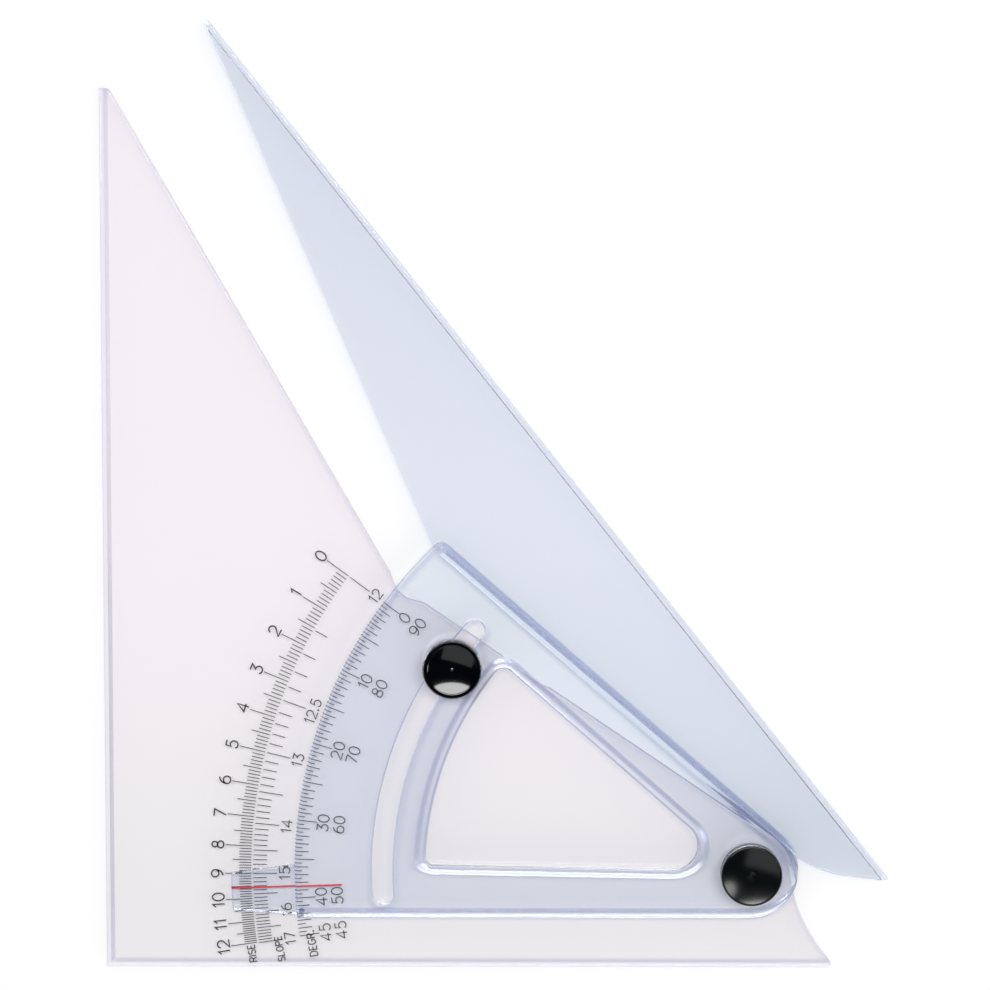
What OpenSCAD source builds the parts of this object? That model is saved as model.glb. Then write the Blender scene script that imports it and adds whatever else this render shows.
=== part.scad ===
// Adjustable set square. A clear base square carries a tinted arm that swings on a pivot.
// The arm is read against scales on the base and held by a knurled knob in an arc slot.
// The origin is on the pivot axis at the underside. +Y runs up the upright edge, +Z to the reader.
// Arm shapes are drawn as they lie when the arm is closed, then swung open to the rest reading.

/* [Base square] */
// Length of the upright guiding edge
leg_length = 253.6; // [235:0.2:280]
// Thickness of the base plate and of the blade beside it
base_thickness = 3; // [2.6:0.1:4]
// Width of the base at its upper end
top_width = 2.54; // [2.2:0.02:12]
// Distance from the bottom edge to the pivot axis
pivot_from_bottom = 28.8; // [28.4:0.2:34]
// Angle between the sloping edge and the bottom edge
slope_angle = 60; // [57:0.5:63]
// Distance from the sloping edge to the pivot axis
slope_offset = 47; // [43:0.5:52]
// Angle of the step edge that faces the arm's riser
step_angle = 34.2; // [31:0.2:37]
// Distance from the step edge to the pivot axis, and radius of the base's round end
step_offset = 11.4; // [10.8:0.1:13]
// Radius of the hollow end edge
sweep_radius = 51.5; // [46:0.5:60]
// Direction from the pivot in which the hollow edge leaves the round end
sweep_angle = 6.3; // [2:0.1:12]
// Depth of the relief where the sloping edge meets the step edge
relief_depth = 1.8; // [0.8:0.1:2.6]
// Width of the inking ledge along the guiding edges
ledge_width = 1.75; // [1.2:0.05:2.5]
// Height of the inking ledge, cut from the underside
ledge_height = 1; // [0.6:0.1:1.6]

/* [Arm] */
// Reading of the arm as it is drawn, in degrees
rest_reading = 38.5; // [5:0.5:44]
// Gap between arm and base edges when closed
edge_gap = 0.35; // [0.2:0.05:0.6]
// Running gap between the base's face and the arm
arm_gap = 0.15; // [0.1:0.05:0.3]
// Distance from the blade's outer edge to the pivot axis
blade_offset = 30; // [28:0.5:34]
// Height of the blade's foot edge above the pivot axis when closed
foot_height = 1.4; // [1:0.1:2.4]
// Radius of the curve that runs into the foot edge
foot_curve_radius = 32.7; // [28:0.1:38]
// Radius of the blade's tip
tip_radius = 0.6; // [0.4:0.05:1]
// Angle of the sector plate's upper edge
ridge_angle = 34.6; // [32:0.2:37]
// Radius of the arm's round end
hub_radius = 14; // [13:0.1:16]
// Fall of the arm's lower edge when closed
heel_angle = 6.5; // [5:0.1:7]
// Radius of the reading edge
sector_radius = 131.8; // [124:0.2:140]
// Thickness of the sector plate
sector_thickness = 3; // [2.4:0.1:4]
// Radius of the index tab's end
tab_radius = 150.3; // [144:0.1:158]
// Thickness of the index tab
tab_thickness = 1.25; // [0.9:0.05:2]

/* [Index line] */
// Direction of the zero mark of the scales from the pivot
zero_angle = 143.55; // [142:0.05:145]
// Width of the index line
index_width = 0.55; // [0.3:0.05:0.8]
// Depth of the index line's groove
index_depth = 0.3; // [0.2:0.05:0.5]
// Length of the index line, inwards from the tab's end
index_length = 32; // [26:0.5:36]

/* [Window] */
// Width of the web between the window and the arc slot
window_web = 9.6; // [6.6:0.1:17]
// Fall of the window's lower side when closed
window_heel_angle = 5.5; // [4:0.1:7]
// Angle of the window's upper side
window_ridge_angle = 34.9; // [32:0.1:37]
// Distance of the window's upper side from the pivot axis
window_ridge_offset = 2.2; // [1.5:0.1:4]
// Corner radius at the window's upper end
window_top_round = 2.9; // [2:0.1:4]
// Corner radius at the window's lower outer end
window_heel_round = 2.3; // [1.5:0.1:4]
// Corner radius at the window's end by the pivot
window_pivot_round = 7; // [6:0.2:8]

/* [Pivot] */
// Diameter of the pivot screw's shoulder
shoulder_d = 6; // [5:0.1:8]
// Diameter of the pivot screw's thread
pivot_thread_d = 4; // [3:0.1:4.5]
// Diameter of the pivot screw's head
pivot_head_d = 12; // [10:0.2:14]
// Thickness of both screw heads
head_thickness = 1; // [0.8:0.05:1.2]
// How far both screw heads lie above the drafting surface
head_lift = 0.2; // [0.1:0.05:0.4]
// Diameter of the friction washer
friction_d = 15; // [12.5:0.1:16]
// Thickness of the friction washer
friction_thickness = 0.5; // [0.3:0.05:0.8]
// Thickness of the spring washer's blade
spring_thickness = 0.35; // [0.25:0.05:0.5]
// Rise of the spring washer from rim to bore
spring_rise = 0.3; // [0.2:0.05:0.5]
// Width of the pivot nut across its flats
nut_flats = 7; // [6.4:0.1:8]
// Thickness of the pivot nut
nut_thickness = 2; // [1.6:0.1:3]
// Diameter of the pivot cap
cap_d = 17.6; // [16.8:0.1:20]
// Thickness of the pivot cap's top over the screw
cap_top = 1.4; // [1:0.1:2]
// Depth of the shallow dish in the pivot cap and in the knob
dish_depth = 0.8; // [0.4:0.05:0.9]

/* [Lock] */
// Direction of the lock screw from the pivot
lock_angle = 145.2; // [144:0.1:148]
// Distance of the lock screw from the pivot axis
lock_distance = 105.2; // [102:0.1:108]
// Diameter of the lock screw
lock_screw_d = 3; // [2.5:0.1:3.5]
// Diameter of the lock screw's head
lock_head_d = 9; // [7:0.1:10]
// Width of the arc slot
slot_width = 5.9; // [5:0.1:7]
// Gap between the lock screw and the slot's inner side
slot_clearance = 0.1; // [0.05:0.05:0.3]
// Diameter of the lock washer
lock_washer_d = 13; // [11:0.1:15]
// Thickness of the lock washer
lock_washer_thickness = 0.8; // [0.5:0.1:1.2]
// Outside diameter of the knob over its serrations
knob_d = 17.2; // [15:0.1:20]
// Height of the knob
knob_height = 5; // [4.4:0.1:7]
// Number of serrations round the knob
knob_teeth = 84; // [60:2:100]
// Depth of a serration
knob_tooth_depth = 0.35; // [0.2:0.05:0.5]
// Diameter of the dished face inside the knob's rim
knob_face_d = 14; // [11:0.1:14.4]
// Outside diameter of the threaded insert
insert_d = 5.5; // [4.8:0.1:7]
// Length of the threaded insert
insert_length = 3.4; // [2.6:0.1:3.6]

/* [Fits] */
// Radial clearance of a shaft in its bore
fit = 0.05; // [0.02:0.01:0.08]
// Clearance round a head in its recess
recess_gap = 0.2; // [0.1:0.05:0.3]
// Clearance between faces that are pressed together by a screw
face_gap = 0.05; // [0.02:0.01:0.1]

/* [Hidden] */
$fn = 96;
cut = 1;
arc_step = 1.5;
closed_reading = 45;
sector_z = base_thickness + arm_gap;
arm_top = sector_z + sector_thickness;
rest_swing = closed_reading - rest_reading;
index_angle = zero_angle + closed_reading;
top_corner_round = 2;
foot_corner_round = 1.2;
small_round = 0.5;
sector_corner_round = 2.5;
relief_round = 1.5;
tab_overlap = 2;
index_end_gap = 0.4;
screw_end = 0.3;
cap_gap = 0.15;
washer_gap = 0.1;
insert_end_gap = 0.2;
cap_round = 0.6;
cap_lip = 1.2;
wall_offset = step_offset + edge_gap;
slot_inner = lock_distance - lock_screw_d / 2 - slot_clearance;
window_radius = slot_inner - window_web;

// Heights of the stack on the pivot screw
shoulder_top = arm_top + face_gap;
friction_top = shoulder_top + friction_thickness;
spring_top = friction_top + spring_rise + spring_thickness;
nut_top = spring_top + nut_thickness;
pivot_screw_top = nut_top + screw_end;
cap_bottom = arm_top + cap_gap;
cap_height = pivot_screw_top + face_gap + cap_top - cap_bottom;

// Heights of the stack on the lock screw
washer_z = arm_top + washer_gap;
knob_z = washer_z + lock_washer_thickness + face_gap;
lock_screw_top = knob_z + insert_length - insert_end_gap;

black = [0.08, 0.08, 0.09];
brass = [0.78, 0.62, 0.32];
steel = [0.72, 0.73, 0.75];

// A point at a distance and direction from the pivot axis
function polar(r, a) = [r * cos(a), r * sin(a)];

// Points of an arc about c
function arc(c, r, a0, a1) =
    let (n = max(1, ceil(abs(a1 - a0) / arc_step)))
    [for (i = [0:n]) c + polar(r, a0 + (a1 - a0) * i / n)];

// Where two lines meet, each given by the direction of its normal and its distance
function meet(a1, d1, a2, d2) =
    [d1 * sin(a2) - d2 * sin(a1), d2 * cos(a1) - d1 * cos(a2)] / sin(a2 - a1);

function unit(v) = v / norm(v);
function short_turn(t) = t > 180 ? t - 360 : (t < -180 ? t + 360 : t);

// Points of a rounded corner at p, between its neighbours a and b
function corner(a, p, b, r) =
    let (
        u = unit(a - p),
        v = unit(b - p),
        half = acos(u * v) / 2,
        c = p + unit(u + v) * r / sin(half),
        s = p + u * r / tan(half) - c,
        e = p + v * r / tan(half) - c,
        a0 = atan2(s[1], s[0]),
        turn = short_turn(atan2(e[1], e[0]) - a0),
        n = max(2, ceil(abs(turn) / 10))
    )
    [for (i = [0:n]) c + polar(r, a0 + turn * i / n)];

// Directions of the normals of the edges that lean
slope_normal = 90 - slope_angle;
step_normal = 90 - step_angle;
blade_normal = 90 - closed_reading;
ridge_normal = 90 - ridge_angle;
heel_normal = heel_angle - 90;

// The upright edge lies one top width beyond the upper end of the sloping edge
slope_top = meet(slope_normal, -slope_offset, 90, leg_length - pivot_from_bottom);
pivot_from_left = top_width - slope_top[0];

// The hollow end edge touches the base's round end and runs down to the foot corner
sweep_centre = polar(sweep_radius + step_offset, sweep_angle);
foot_x = sweep_centre[0] - sqrt(pow(sweep_radius, 2) - pow(sweep_centre[1] + pivot_from_bottom, 2));

// Outline of the base, from its lower left corner
function base_outline() =
    let (
        low = -pivot_from_bottom,
        left = -pivot_from_left,
        high = low + leg_length,
        foot = [foot_x, low],
        foot_dir = atan2(low - sweep_centre[1], foot_x - sweep_centre[0]) + 360,
        edge = arc(sweep_centre, sweep_radius, foot_dir, sweep_angle + 180),
        knee = meet(slope_normal, -slope_offset, step_normal, step_offset),
        down_step = polar(1, step_normal - 90),
        up_slope = polar(1, slope_normal + 90),
        peak = meet(slope_normal, -slope_offset, 90, high),
        r1 = knee + down_step * relief_depth * 5.2,
        r2 = knee + down_step * relief_depth * 2.7 - polar(relief_depth, step_normal) * 0.95,
        r3 = knee + down_step * relief_depth * 0.5 - polar(relief_depth, step_normal) * 0.75,
        r4 = knee + up_slope * relief_depth * 2.4
    )
    concat(
        [[left, low]],
        corner([left, low], foot, edge[3], foot_corner_round),
        [for (i = [3:len(edge) - 1]) edge[i]],
        arc([0, 0], step_offset, sweep_angle, step_normal),
        corner(polar(step_offset, step_normal), r1, r2, relief_round * 2),
        corner(r1, r2, r3, relief_round * 2),
        corner(r2, r3, r4, relief_round),
        corner(r3, r4, peak, relief_round * 2),
        corner(r4, peak, [left, high], top_corner_round),
        [[left, high]]
    );

// Outline of the blade, from the outer end of its foot
function blade_outline() =
    let (
        heel = meet(blade_normal, blade_offset, 90, foot_height),
        tip = meet(blade_normal, blade_offset, slope_normal, edge_gap - slope_offset),
        root = meet(slope_normal, edge_gap - slope_offset, step_normal, wall_offset),
        c = meet(step_normal, wall_offset + foot_curve_radius, 90, foot_height + foot_curve_radius)
    )
    concat(
        corner([c[0], foot_height], heel, tip, small_round),
        corner(heel, tip, root, tip_radius),
        corner(tip, root, c - polar(foot_curve_radius, step_normal), small_round),
        arc(c, foot_curve_radius, step_normal + 180, 270)
    );

// Outline of the sector plate, from the lower side of its round end
function sector_outline() =
    let (
        swing = acos(hub_radius / sector_radius),
        top_dir = ridge_normal + swing,
        low_dir = heel_normal - swing + 360,
        ridge_start = polar(hub_radius, ridge_normal),
        top = polar(sector_radius, top_dir),
        low = polar(sector_radius, low_dir),
        after = 2
    )
    concat(
        arc([0, 0], hub_radius, heel_normal, ridge_normal),
        corner(ridge_start, top, polar(sector_radius, top_dir + after), sector_corner_round),
        arc([0, 0], sector_radius, top_dir + after, low_dir - after / 2),
        corner(polar(sector_radius, low_dir - after / 2), low, polar(hub_radius, heel_normal), small_round)
    );

// Outline of the index tab, which starts inside the sector plate
function tab_outline() =
    let (
        inner = sector_radius - tab_overlap,
        low_dir = heel_normal - acos(hub_radius / inner) + 360,
        a = polar(inner, index_angle - 3),
        b = polar(tab_radius, index_angle - 1.8),
        c = polar(tab_radius, index_angle + 2.4),
        d = polar(inner, low_dir)
    )
    concat(
        [a],
        corner(a, b, c, small_round * 2),
        arc([0, 0], tab_radius, index_angle - 1.2, index_angle + 1.8),
        corner(b, c, d, small_round * 2),
        [d]
    );

// Outline of the window, from its end by the pivot
function window_outline() =
    let (
        low_dir = 180 + window_heel_angle,
        up_dir = 180 - window_ridge_angle,
        n = polar(1, up_dir - 90),
        u = polar(1, up_dir),
        near = meet(up_dir - 90, -window_ridge_offset, low_dir - 90, 0),
        top_c = -n * (window_ridge_offset + window_top_round)
            + u * sqrt(pow(window_radius - window_top_round, 2)
            - pow(window_ridge_offset + window_top_round, 2)),
        heel_c = polar(sqrt(pow(window_radius - window_heel_round, 2) - pow(window_heel_round, 2)), low_dir)
            + polar(window_heel_round, low_dir - 90),
        top_dir = atan2(top_c[1], top_c[0]),
        heel_dir = atan2(heel_c[1], heel_c[0]) + (heel_c[1] < 0 ? 360 : 0)
    )
    concat(
        corner(near + polar(20, low_dir), near, near + u * 20, window_pivot_round),
        arc(top_c, window_top_round, up_dir - 90, top_dir),
        arc([0, 0], window_radius, top_dir, heel_dir),
        arc(heel_c, window_heel_round, heel_dir, low_dir + 90)
    );

module base_plate() {
    color([0.95, 0.94, 0.95, 0.6])
    difference() {
        linear_extrude(base_thickness) polygon(base_outline());
        translate([-pivot_from_left - cut, -pivot_from_bottom - cut, -cut])
            cube([ledge_width + cut, leg_length + 2 * cut, ledge_height + cut]);
        translate([-pivot_from_left - cut, -pivot_from_bottom - cut, -cut])
            cube([pivot_from_left + foot_x + 2 * cut, ledge_width + cut, ledge_height + cut]);
        screw_seat(shoulder_d, pivot_head_d);
        translate(lock_point()) screw_seat(lock_screw_d, lock_head_d);
    }
}

// Bore through the base with a flat recess for the head on the underside
module screw_seat(shaft_d, head_d) {
    translate([0, 0, -cut]) cylinder(d = shaft_d + 2 * fit, h = base_thickness + 2 * cut);
    translate([0, 0, -cut]) cylinder(d = head_d + 2 * recess_gap, h = head_lift + head_thickness + cut);
}

function lock_point() = [lock_distance * cos(lock_angle), lock_distance * sin(lock_angle), 0];

module at_rest() {
    rotate([0, 0, -rest_swing]) children();
}

module swing_arm() {
    color([0.80, 0.85, 0.95, 0.7])
    at_rest()
    difference() {
        union() {
            linear_extrude(base_thickness) polygon(blade_outline());
            linear_extrude(arm_top) intersection() {
                polygon(blade_outline());
                polygon(sector_outline());
            }
            translate([0, 0, sector_z]) linear_extrude(sector_thickness) polygon(sector_outline());
            translate([0, 0, sector_z]) linear_extrude(tab_thickness) polygon(tab_outline());
        }
        translate([0, 0, sector_z - cut]) linear_extrude(sector_thickness + 2 * cut)
            polygon(window_outline());
        rotate([0, 0, blade_normal]) translate([blade_offset - ledge_width, -leg_length / 2, -cut])
            cube([ledge_width + cut, leg_length * 2, ledge_height + cut]);
        translate([0, 0, -cut]) cylinder(d = shoulder_d + 2 * fit, h = arm_top + 2 * cut);
        arc_slot();
        index_bar(sector_z - cut, index_depth + cut);
    }
}

// The slot's ends are round about the lock screw's place at both ends of the travel
module arc_slot() {
    middle = slot_inner + slot_width / 2;
    translate([0, 0, sector_z - cut]) {
        rotate([0, 0, lock_angle]) rotate_extrude(angle = closed_reading)
            translate([slot_inner, 0]) square([slot_width, sector_thickness + 2 * cut]);
        for (a = [lock_angle, lock_angle + closed_reading])
            translate(middle * [cos(a), sin(a), 0])
                cylinder(d = slot_width, h = sector_thickness + 2 * cut);
    }
}

module index_bar(z, h) {
    rotate([0, 0, index_angle])
    translate([tab_radius - index_length, -index_width / 2, z]) cube([index_length - index_end_gap, index_width, h]);
}

module index_line() {
    color([0.85, 0.10, 0.12]) at_rest() index_bar(sector_z, index_depth);
}

module pivot_screw() {
    color(steel) {
        translate([0, 0, head_lift]) cylinder(d = pivot_head_d, h = head_thickness);
        translate([0, 0, head_lift]) cylinder(d = shoulder_d, h = shoulder_top - head_lift);
        translate([0, 0, head_lift]) cylinder(d = pivot_thread_d, h = pivot_screw_top - head_lift);
    }
}

module friction_washer() {
    color("ivory")
    translate([0, 0, shoulder_top]) ring(friction_d, pivot_thread_d + 2 * fit, friction_thickness);
}

// A slightly coned washer that keeps the pivot's friction even
module spring_washer() {
    color(steel)
    translate([0, 0, friction_top])
    rotate_extrude() polygon([
        [pivot_thread_d / 2 + fit, spring_rise],
        [friction_d * 0.36, 0],
        [friction_d * 0.36, spring_thickness],
        [pivot_thread_d / 2 + fit, spring_rise + spring_thickness]
    ]);
}

module pivot_nut() {
    color(brass)
    translate([0, 0, spring_top])
    difference() {
        cylinder(d = nut_flats / cos(30), h = nut_thickness, $fn = 6);
        translate([0, 0, -cut]) cylinder(d = pivot_thread_d + 2 * fit, h = nut_thickness + 2 * cut);
    }
}

// The cap snaps over the nut and hides the stack
module pivot_cap() {
    color(black)
    difference() {
        translate([0, 0, cap_bottom]) rotate_extrude() polygon(concat(
            [[0, 0], [cap_d / 2, 0]],
            [for (a = [0:15:90])
                [cap_d / 2 - cap_round * (1 - cos(a)), cap_height - cap_round * (1 - sin(a))]],
            dish_points(cap_d / 2 - cap_lip, cap_height)
        ));
        translate([0, 0, cap_bottom - cut])
            cylinder(d = friction_d + 2 * recess_gap, h = spring_top - cap_bottom + cut);
        translate([0, 0, spring_top - cut])
            cylinder(d = (nut_flats + 4 * fit) / cos(30), h = nut_thickness + cut + face_gap, $fn = 6);
        translate([0, 0, nut_top])
            cylinder(d = pivot_thread_d + 4 * fit, h = pivot_screw_top + face_gap - nut_top);
    }
}

// Profile of a shallow dish, from its rim to the axis
function dish_points(r, top) =
    [for (i = [0:6]) let (s = r * (1 - i / 6)) [s, top - dish_depth * (1 - pow(s / r, 2))]];

module lock_screw() {
    color(steel)
    translate(lock_point()) {
        translate([0, 0, head_lift]) cylinder(d = lock_head_d, h = head_thickness);
        translate([0, 0, head_lift]) cylinder(d = lock_screw_d, h = lock_screw_top - head_lift);
    }
}

module lock_washer() {
    color(black)
    translate(lock_point()) translate([0, 0, washer_z])
        ring(lock_washer_d, lock_screw_d + 2 * fit, lock_washer_thickness);
}

module knob_insert() {
    color(brass)
    translate(lock_point()) translate([0, 0, knob_z])
        ring(insert_d, lock_screw_d + 2 * fit, insert_length);
}

module lock_knob() {
    color(black)
    translate(lock_point()) translate([0, 0, knob_z])
    difference() {
        linear_extrude(knob_height) polygon([for (i = [0:2 * knob_teeth - 1])
            polar(knob_d / 2 - (i % 2) * knob_tooth_depth, i * 180 / knob_teeth)]);
        translate([0, 0, -cut]) cylinder(d = insert_d, h = insert_length + cut);
        rotate_extrude() polygon(concat(
            [[0, knob_height + cut], [knob_face_d / 2, knob_height + cut]],
            dish_points(knob_face_d / 2, knob_height)
        ));
    }
}

module ring(outer_d, inner_d, h) {
    difference() {
        cylinder(d = outer_d, h = h);
        translate([0, 0, -cut]) cylinder(d = inner_d, h = h + 2 * cut);
    }
}

base_plate();
swing_arm();
index_line();
pivot_screw();
friction_washer();
spring_washer();
pivot_nut();
pivot_cap();
lock_screw();
lock_washer();
knob_insert();
lock_knob();
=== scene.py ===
# Adjustable set square: a clear base, a tinted arm on a pivot, printed scales, a black cap and knob.
# Lengths are millimetres in the CAD frame, z up from the sheet, and meshes are written in metres.
import math

import bpy
import numpy as np
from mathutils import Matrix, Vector
from mathutils.geometry import tessellate_polygon


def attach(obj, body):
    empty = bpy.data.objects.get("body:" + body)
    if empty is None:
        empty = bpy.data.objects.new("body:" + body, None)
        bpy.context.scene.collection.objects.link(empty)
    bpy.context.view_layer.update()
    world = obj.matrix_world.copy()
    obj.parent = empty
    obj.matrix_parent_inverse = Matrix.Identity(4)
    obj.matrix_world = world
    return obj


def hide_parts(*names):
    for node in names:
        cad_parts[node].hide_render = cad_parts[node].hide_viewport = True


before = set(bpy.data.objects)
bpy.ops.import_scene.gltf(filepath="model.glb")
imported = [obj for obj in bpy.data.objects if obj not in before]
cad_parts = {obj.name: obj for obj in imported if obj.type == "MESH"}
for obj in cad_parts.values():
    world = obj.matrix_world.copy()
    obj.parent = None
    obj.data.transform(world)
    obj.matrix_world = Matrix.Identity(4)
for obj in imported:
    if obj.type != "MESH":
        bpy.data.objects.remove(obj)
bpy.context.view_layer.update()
print("stage: frame loaded")

arcStep = 1.0  # degrees between the points of a long arc
millimetre = 0.001


# Points at a radius and a direction, in degrees, from the pivot.
def polar(radius, degrees):
    angle = np.radians(degrees)
    return np.stack([radius * np.cos(angle), radius * np.sin(angle)], -1)


# Points of an arc, evenly spaced in angle, both ends included.
def arc(centre, radius, start, end, step=arcStep):
    count = max(1, math.ceil(abs(end - start) / step))
    return np.asarray(centre) + polar(radius, np.linspace(start, end, count + 1))


# Counter-clockwise circle without a doubled end point.
def circle(centre, radius, count=96):
    return np.asarray(centre) + polar(radius, np.arange(count) * 360.0 / count)


# Where two lines meet, each given by its normal's direction and its distance from the pivot.
def meet(angleOne, distOne, angleTwo, distTwo):
    one, two = math.radians(angleOne), math.radians(angleTwo)
    return np.array([
        distOne * math.sin(two) - distTwo * math.sin(one),
        distTwo * math.cos(one) - distOne * math.cos(two),
    ]) / math.sin(two - one)


def unit(vector):
    return vector / np.hypot(*vector)


# Rounds the corner at point by an arc that touches both sides.
def corner(before, point, after, radius):
    point = np.asarray(point)
    back, ahead = unit(np.asarray(before) - point), unit(np.asarray(after) - point)
    half = math.acos(float(back @ ahead)) / 2
    centre = point + unit(back + ahead) * radius / math.sin(half)
    first = point + back * radius / math.tan(half) - centre
    last = point + ahead * radius / math.tan(half) - centre
    start = math.degrees(math.atan2(first[1], first[0]))
    turn = math.degrees(math.atan2(last[1], last[0])) - start
    turn -= 360 * round(turn / 360)
    return arc(centre, radius, start, start + turn, step=8)


# Points turned about the pivot.
def turned(points, degrees):
    angle = math.radians(degrees)
    spin = np.array([[math.cos(angle), math.sin(angle)], [-math.sin(angle), math.cos(angle)]])
    return points @ spin


# Drops points that lie closer than least to the one before them.
def cleaned(loop, least=0.02):
    keep = np.hypot(*(loop - np.roll(loop, 1, 0)).T) > least
    return loop[keep]


# Moves each point to its left by distance, along the mitre of its two sides.
def insetLoop(loop, distance):
    edges = np.roll(loop, -1, 0) - loop
    edges /= np.hypot(*edges.T)[:, None]
    left = np.stack([-edges[:, 1], edges[:, 0]], -1)
    before = np.roll(left, 1, 0)
    mitre = (left + before) / (1 + (left * before).sum(1))[:, None]
    return loop + mitre * distance


# Weight of each point's inset: least, and another where the edge faces a side's direction. A side is a
# direction, the cosine where its weight begins, and the weight straight towards it.
def facing(loop, least, side):
    straight = 0.95  # cosine from which an edge counts as straight towards the side
    direction, start, most = side
    edges = np.roll(loop, -1, 0) - np.roll(loop, 1, 0)
    outward = np.stack([edges[:, 1], -edges[:, 0]], -1) / np.hypot(*edges.T)[:, None]
    share = np.clip((outward @ polar(1.0, direction) - start) / (straight - start), 0, 1)
    return (least + (most - least) * share)[:, None]


# Inset and height of each ring of an edge's lower round, a quarter circle.
def lowStack(low, lowRound=0.15, count=4):
    quarter = np.radians(np.linspace(0, 90, count))
    return [(lowRound * (1 - math.sin(t)), low + lowRound * (1 - math.cos(t))) for t in quarter]


# Inset and height of each ring of an edge's upper round, a quarter circle.
def topStack(high, topRound, count=13):
    quarter = np.radians(np.linspace(0, 90, count))
    return [(topRound * (1 - math.cos(t)), high - topRound * (1 - math.sin(t))) for t in quarter]


# A mesh object in metres from points in millimetres. Faces listed in flat aren't smoothed.
def makeMesh(name, points, faces, flat=()):
    mesh = bpy.data.meshes.new(name)
    mesh.from_pydata((np.asarray(points) * millimetre).tolist(), [], faces)
    smooth = np.ones(len(mesh.polygons), dtype=bool)
    smooth[list(flat)] = False
    mesh.polygons.foreach_set("use_smooth", smooth)
    mesh.update()
    obj = bpy.data.objects.new(name, mesh)
    bpy.context.scene.collection.objects.link(obj)
    return obj


# Quads between rows of closed rings.
def ringFaces(grid):
    low, high = grid[:-1], grid[1:]
    quads = np.stack([low, np.roll(low, -1, 1), np.roll(high, -1, 1), high], -1)
    return quads.reshape(-1, 4).tolist()


# Closed plate: each outline is carried up its stack, and the first and last rings are filled. Material
# lies on an outline's left. A stack lists inset and height, each one number or one per point.
def solid(name, loops):
    points, faces, flat = [], [], []
    ends = ([], [])
    total = 0
    for outline, stack in loops:
        outline = cleaned(outline)
        count = len(outline)
        rings = []
        for inset, height in stack:
            level = np.broadcast_to(height, count)
            rings.append(np.column_stack([insetLoop(outline, inset), level]))
        grid = total + np.arange(len(rings) * count).reshape(len(rings), count)
        faces += ringFaces(grid)
        points += rings
        ends[0].append((rings[0], grid[0]))
        ends[1].append((rings[-1], grid[-1]))
        total += len(rings) * count
    for upper, end in enumerate(ends):
        index = np.concatenate([ids for _, ids in end])
        triangles = np.array(tessellate_polygon([[tuple(p) for p in ring] for ring, _ in end]))
        spots = np.concatenate([ring for ring, _ in end])[:, :2]
        a, b, c = (spots[triangles[:, k]] for k in range(3))
        area = (b[:, 0] - a[:, 0]) * (c[:, 1] - a[:, 1]) - (b[:, 1] - a[:, 1]) * (c[:, 0] - a[:, 0])
        if (area.sum() > 0) != bool(upper):
            triangles = triangles[:, ::-1]
        start = len(faces)
        faces += index[triangles].tolist()
        flat += range(start, len(faces))
    return makeMesh(name, np.concatenate(points), faces, flat)


# Joins or cuts one closed mesh with another and keeps the result as plain mesh. Folded is for a mesh
# whose rings fold over in a corner that is tighter than their inset.
def combine(target, other, operation="UNION", folded=False):
    change = target.modifiers.new("join", "BOOLEAN")
    change.operation = operation
    change.solver = "EXACT"
    change.use_self = folded
    change.object = other
    graph = bpy.context.evaluated_depsgraph_get()
    result = bpy.data.meshes.new_from_object(target.evaluated_get(graph))
    target.modifiers.clear()
    target.data = result
    bpy.data.objects.remove(other)


# Level faces are left flat so that they don't bend what is seen through them.
def shade(obj, degrees=32.0):
    levelCosine = 0.9999
    mesh = obj.data
    mesh.set_sharp_from_angle(angle=math.radians(degrees))
    normals = np.zeros(len(mesh.polygons) * 3)
    mesh.polygons.foreach_get("normal", normals)
    level = np.abs(normals.reshape(-1, 3)[:, 2]) > levelCosine
    mesh.polygons.foreach_set("use_smooth", ~level)
    mesh.update()


# Inking ledge under the guiding edges of base and blade. Beyond and reach only clear the sheet.
ledge = {"width": 1.75, "height": 1.0, "beyond": 9.0, "reach": 400.0}


# Undercuts a guiding edge, given by its normal's direction and its distance. The prism starts as far
# below the sheet as it rises into it, and its wall leans by lean either way about the ledge's width.
def cutLedge(plate, normal, offset, lean):
    height, inner = ledge["height"], offset - ledge["width"]
    outer = inner + ledge["beyond"]
    out, along = polar(1.0, normal), polar(ledge["reach"], normal + 90)
    strip = np.array([out * d + along * k for d, k in ((inner, -1), (outer, -1), (outer, 1), (inner, 1))])
    combine(plate, solid("strip", [(strip, [(-3 * lean, -height), (lean, height)])]), "DIFFERENCE")


# Clear base.
basePlate = {
    "left": -186.599, "low": -28.8, "high": 224.8, "thick": 3.0, "edgeRound": 0.45,
    "slopeNormal": 30.0, "slopeOffset": 47.0, "stepNormal": 55.8, "stepOffset": 11.4,
    "sweepRadius": 51.5, "sweepAngle": 6.3, "footRound": 1.2, "topRound": 2.0,
    "reliefRound": 1.5, "reliefDepth": 1.8,
    # In relief depths from the knee: its reach along step edge and slope, and its bed's two corners,
    # each as a way down the step edge and a way into the plate.
    "reliefReach": (5.2, 2.4), "reliefBed": ((2.7, 0.95), (0.5, 0.75)),
    "ledgeLean": 0.55, "pivotBore": 3.05, "pivotSeat": 6.2, "seatDepth": 1.2,
}
stud = {"distance": 105.2, "angle": 145.2, "bore": 1.55, "seat": 4.7}


def studPlace():
    return polar(stud["distance"], stud["angle"])


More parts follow.
